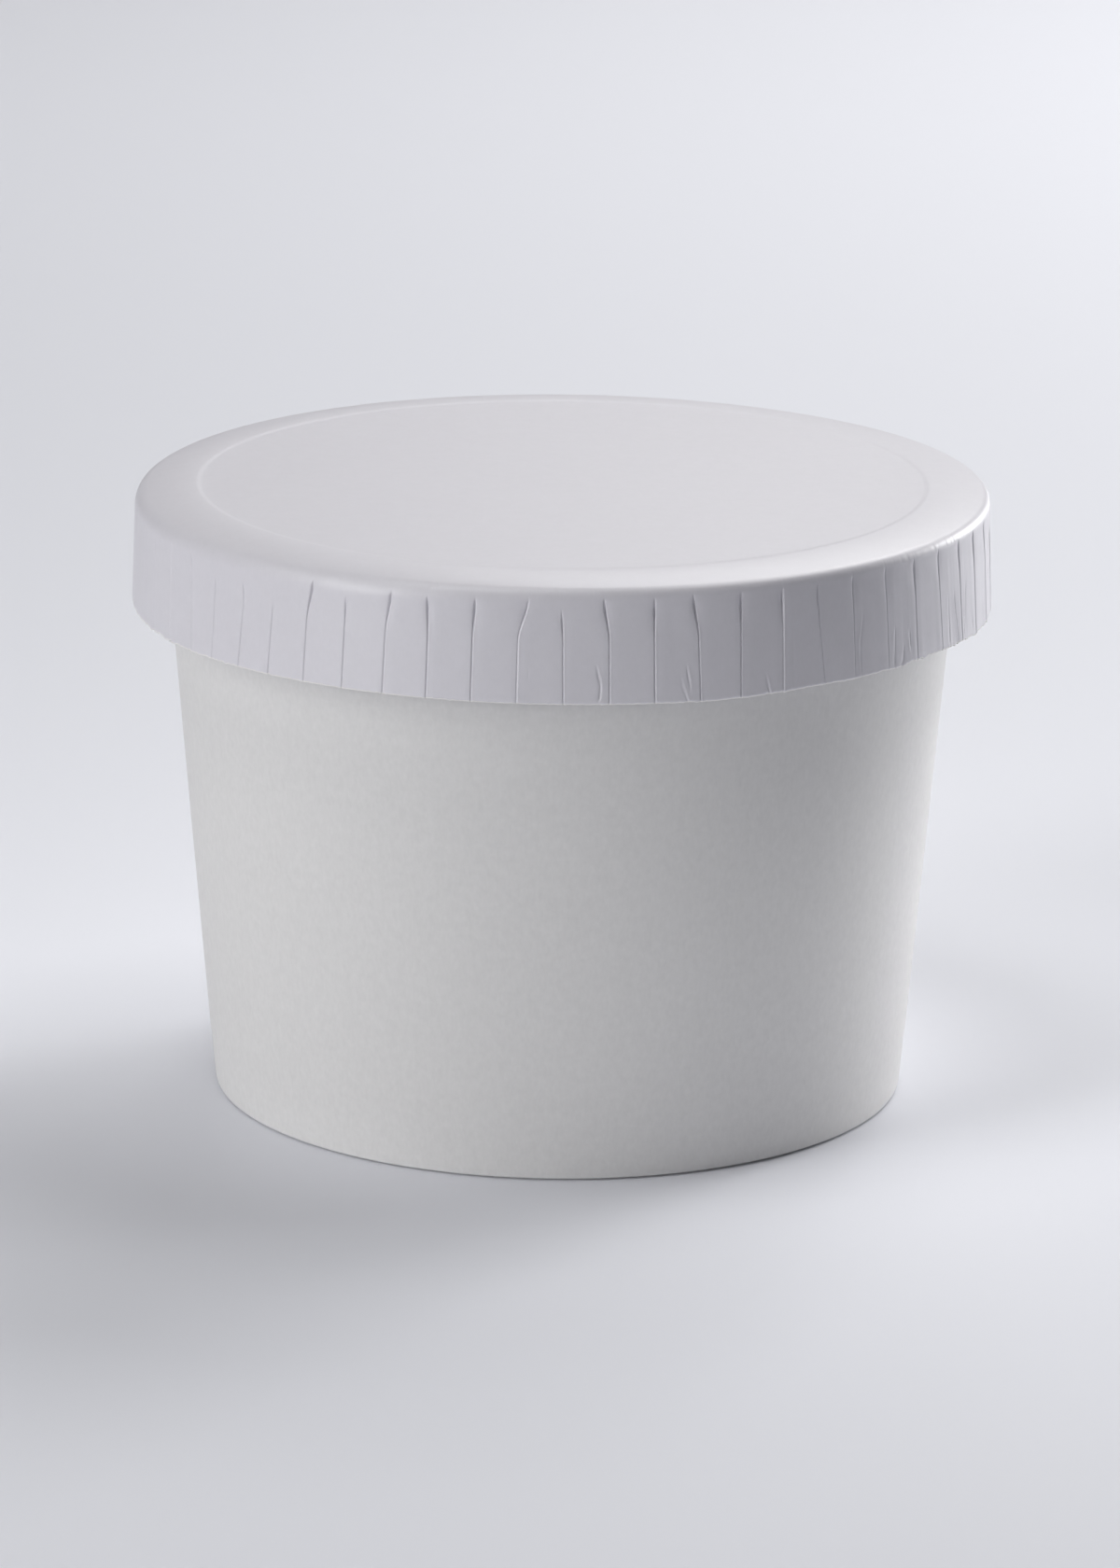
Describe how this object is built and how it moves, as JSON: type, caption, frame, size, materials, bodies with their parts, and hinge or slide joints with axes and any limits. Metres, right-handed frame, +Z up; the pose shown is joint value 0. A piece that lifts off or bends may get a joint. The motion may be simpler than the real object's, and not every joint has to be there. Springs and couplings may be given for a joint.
{
  "type": "paper food container",
  "caption": "Round tapered paperboard food tub with a rolled rim, a recessed base and a pressed paper lid with a pleated skirt, shut.",
  "frame": {"origin": "middle of the foot ring, on the surface the tub stands on", "axes": "+Z up along the tub's axis; -Y faces the viewer"},
  "size_m": [0.103, 0.103, 0.0742],
  "materials": {
    "tub_board": "matt uncoated cup board, slightly warm white, with fine fibre mottling",
    "lid_board": "smooth clay-coated board, cool white, with a slight satin sheen"
  },
  "bodies": {
    "root": {"tub": "tub_board", "lid": "lid_board"}
  },
  "joints": []
}
